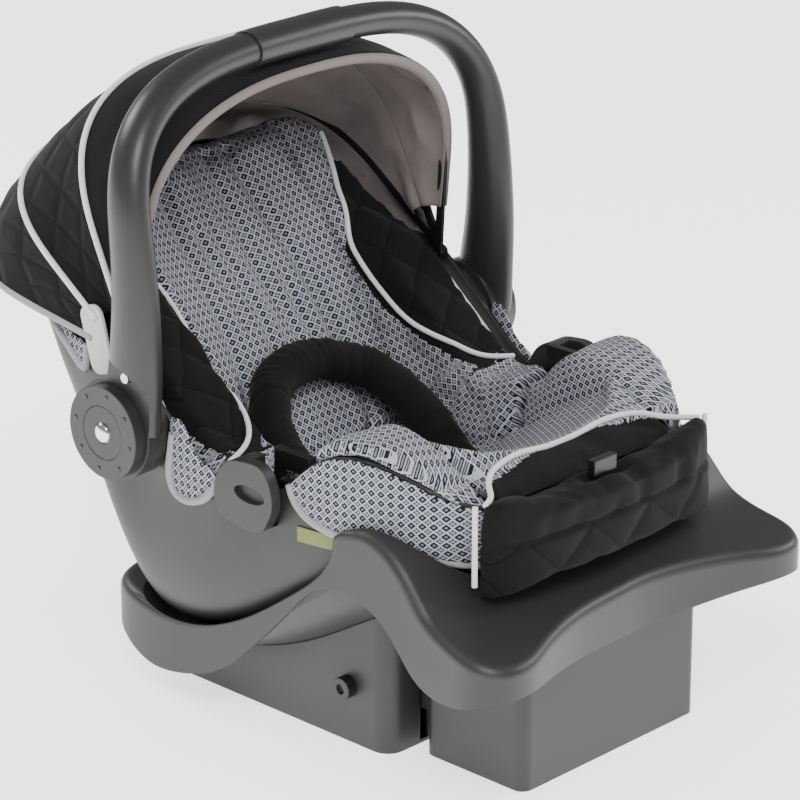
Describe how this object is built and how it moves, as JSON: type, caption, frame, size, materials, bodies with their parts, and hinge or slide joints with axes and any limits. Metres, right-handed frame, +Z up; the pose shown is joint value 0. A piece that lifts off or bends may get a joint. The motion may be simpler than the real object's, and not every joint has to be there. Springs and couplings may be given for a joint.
{
  "type": "infant car seat",
  "caption": "Rear-facing infant carrier with a swinging carry handle, folding canopy and padded seat, standing in its vehicle base with a wavy deck and a recline foot.",
  "frame": {"origin": "on the ground, in the middle of the base's width, at the middle plane that the carrier and base are measured from", "axes": "+Z up, +Y towards the child's head end, +X to the child's left when the child lies in the seat"},
  "size_m": [0.4502, 0.6409, 0.5413],
  "materials": {
    "moulded_plastic": "fine textured dark grey moulded plastic",
    "handle_plastic": "satin dark grey moulded plastic",
    "black_plastic": "black moulded plastic",
    "pale_plastic": "light grey moulded plastic",
    "green_plastic": "green indicator",
    "level_strip": "yellow green indicator strip",
    "steel": "bright steel",
    "foam": "expanded foam",
    "print_fabric": "light grey print with dark square rings",
    "black_fabric": "black quilted fabric",
    "lining_fabric": "warm grey lining"
  },
  "bodies": {
    "base": {"base_tub": "moulded_plastic", "base_deck": "moulded_plastic", "latch_bar_rear": "steel", "latch_bar_front": "steel", "recline_axle": "steel", "recline_knob_left": "moulded_plastic", "recline_knob_right": "moulded_plastic"},
    "foot": {"recline_foot": "moulded_plastic"},
    "handle": {"handle_frame": "handle_plastic", "handle_grip": "handle_plastic", "arm_screws": "steel", "lock_windows": "green_plastic", "hub_cap_left": "handle_plastic", "hub_cap_right": "handle_plastic"},
    "button_left": {"handle_button_left": "handle_plastic"},
    "button_right": {"handle_button_right": "handle_plastic"},
    "bow_rear": {"canopy_bow_rear": "black_plastic", "canopy_panel_rear": "black_fabric"},
    "bow_middle": {"canopy_bow_middle": "black_plastic", "canopy_panel_middle": "black_fabric"},
    "bow_front": {"canopy_bow_front": "black_plastic", "canopy_panel_front": "lining_fabric"},
    "release": {"release_lever": "moulded_plastic"},
    "pawls": {"latch_pawl_left": "steel", "latch_pawl_right": "steel", "latch_shaft": "steel"},
    "carrier": {"back_cushion": "print_fabric", "belt_guide_left": "moulded_plastic", "belt_guide_right": "moulded_plastic", "belt_hook_left": "black_plastic", "belt_hook_right": "black_plastic", "body_pillow": "black_fabric", "canopy_bracket_left": "pale_plastic", "canopy_bracket_right": "pale_plastic", "carrier_shell": "moulded_plastic", "foam_liner": "foam", "front_panel": "black_fabric", "hub_flap_left": "print_fabric", "hub_flap_right": "print_fabric", "leg_bolster_left": "print_fabric", "leg_bolster_right": "print_fabric", "leg_flap_left": "print_fabric", "leg_flap_right": "print_fabric", "level_label": "level_strip", "pivot_bolt_left": "steel", "pivot_bolt_right": "steel", "rear_flap_left": "print_fabric", "rear_flap_right": "print_fabric", "seat_cushion": "print_fabric", "wing_pad_left": "black_fabric", "wing_pad_right": "black_fabric"}
  },
  "joints": [
    {"name": "carrier_lift", "type": "slide", "parent": "base", "child": "carrier", "axis": [0, 0, 1], "range_m": [0, 0.24]},
    {"name": "recline_foot_tilt", "type": "hinge", "parent": "base", "child": "foot", "pos_m": [0, -0.123, 0.049], "axis": [1, 0, 0], "range_deg": [0, 18]},
    {"name": "handle_swing", "type": "hinge", "parent": "carrier", "child": "handle", "pos_m": [0, 0.06, 0.244], "axis": [-1, 0, 0], "range_deg": [0, 105], "deforming": ["canopy_panel_front", "canopy_panel_middle", "canopy_panel_rear", "canopy_bow_front", "canopy_bow_middle", "canopy_bow_rear"]},
    {"name": "handle_button_left_press", "type": "slide", "parent": "handle", "child": "button_left", "axis": [1, 0, 0], "range_m": [0, 0.005], "stiffness_N_per_m": 900},
    {"name": "handle_button_right_press", "type": "slide", "parent": "handle", "child": "button_right", "axis": [-1, 0, 0], "range_m": [0, 0.005], "stiffness_N_per_m": 900},
    {"name": "canopy_rear_fold", "type": "hinge", "parent": "carrier", "child": "bow_rear", "pos_m": [0, 0.066, 0.298], "axis": [-1, 0, 0], "range_deg": [0, 6], "deforming": ["canopy_panel_front", "canopy_panel_middle", "canopy_panel_rear"]},
    {"name": "canopy_middle_fold", "type": "hinge", "parent": "bow_rear", "child": "bow_middle", "pos_m": [0, 0.066, 0.298], "axis": [-1, 0, 0], "range_deg": [0, 26], "deforming": ["canopy_panel_front", "canopy_panel_middle", "canopy_panel_rear"]},
    {"name": "canopy_front_fold", "type": "hinge", "parent": "bow_middle", "child": "bow_front", "pos_m": [0, 0.066, 0.298], "axis": [-1, 0, 0], "range_deg": [0, 24], "deforming": ["canopy_panel_front", "canopy_panel_middle", "canopy_panel_rear"]},
    {"name": "release_lever_pull", "type": "slide", "parent": "carrier", "child": "release", "axis": [0, 0.4384, 0.8988], "range_m": [0, 0.008], "stiffness_N_per_m": 1200},
    {"name": "latch_pawl_turn", "type": "hinge", "parent": "carrier", "child": "pawls", "pos_m": [0, 0.06, 0.044], "axis": [-1, 0, 0], "range_deg": [-15, 0]}
  ],
  "couplings": [
    {"joint": "canopy_middle_fold", "follows": "canopy_front_fold", "ratio": 1.0833},
    {"joint": "canopy_rear_fold", "follows": "canopy_front_fold", "ratio": 0.25},
    {"joint": "latch_pawl_turn", "follows": "release_lever_pull", "rad_per_m": -32.725}
  ]
}
